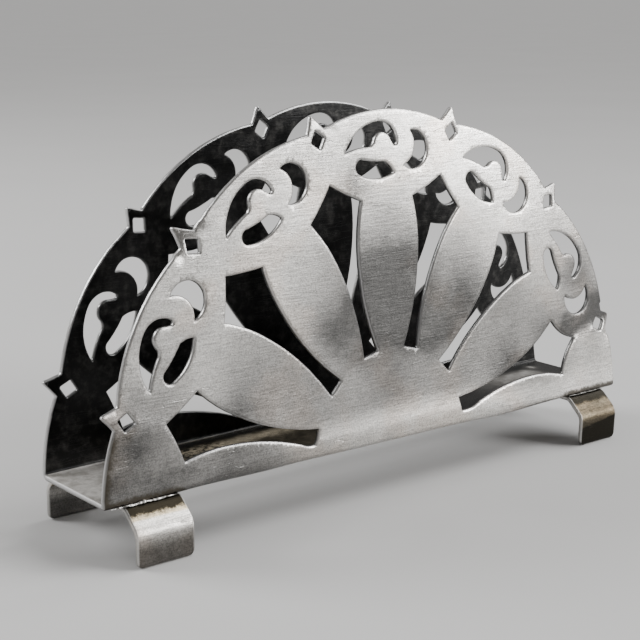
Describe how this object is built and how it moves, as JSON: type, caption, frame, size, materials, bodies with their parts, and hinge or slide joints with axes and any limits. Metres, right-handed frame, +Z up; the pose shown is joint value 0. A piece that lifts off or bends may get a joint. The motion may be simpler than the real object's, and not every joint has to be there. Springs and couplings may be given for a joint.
{
  "type": "napkin holder",
  "caption": "Fan-shaped pierced metal napkin holder: a folded sheet channel with scrollwork panels, standing on soldered strap feet.",
  "frame": {"origin": "on the table, under the middle of the base", "axes": "+X along the holder to its right end, +Y from the front panel to the back panel, +Z up"},
  "size_m": [0.1442, 0.0354, 0.0821],
  "materials": {
    "plated_sheet": "worn",
    "plated_strap": "worn",
    "solder": "satin"
  },
  "bodies": {
    "root": {"folded_fan_body": "plated_sheet", "left_foot_strap": "plated_strap", "right_foot_strap": "plated_strap", "solder_left_front": "solder", "solder_left_back": "solder", "solder_right_front": "solder", "solder_right_back": "solder"}
  },
  "joints": []
}
